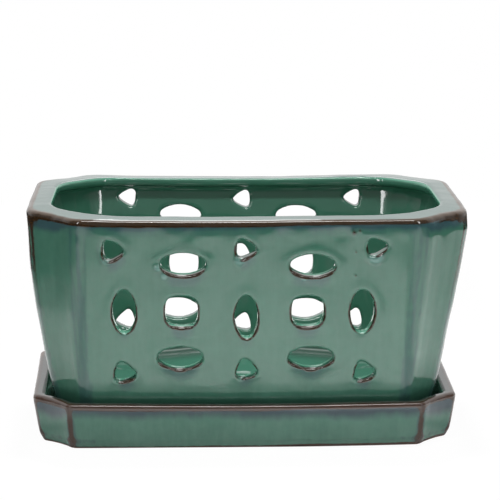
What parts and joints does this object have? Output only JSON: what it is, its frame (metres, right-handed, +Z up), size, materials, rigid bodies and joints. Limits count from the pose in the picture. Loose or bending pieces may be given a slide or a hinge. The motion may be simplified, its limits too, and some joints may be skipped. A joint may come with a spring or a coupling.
{
  "type": "slotted orchid pot with saucer",
  "caption": "Rectangular glazed ceramic orchid pot with cut corners, pierced long walls and drain holes in the floor, standing loose in a matching saucer that catches the water.",
  "frame": {"origin": "middle of the saucer's underside, on the surface that the object stands on", "axes": "+X along the long slotted walls, +Y from the front wall to the back wall, +Z up"},
  "size_m": [0.23, 0.145, 0.124],
  "materials": {
    "saucer_glaze": "gloss",
    "pot_glaze": "gloss"
  },
  "bodies": {
    "saucer": {"saucer": "saucer_glaze"},
    "pot": {"pot": "pot_glaze"}
  },
  "joints": [
    {"name": "pot_lift", "type": "slide", "parent": "saucer", "child": "pot", "axis": [0, 0, 1], "range_m": [0, 0.06]}
  ]
}
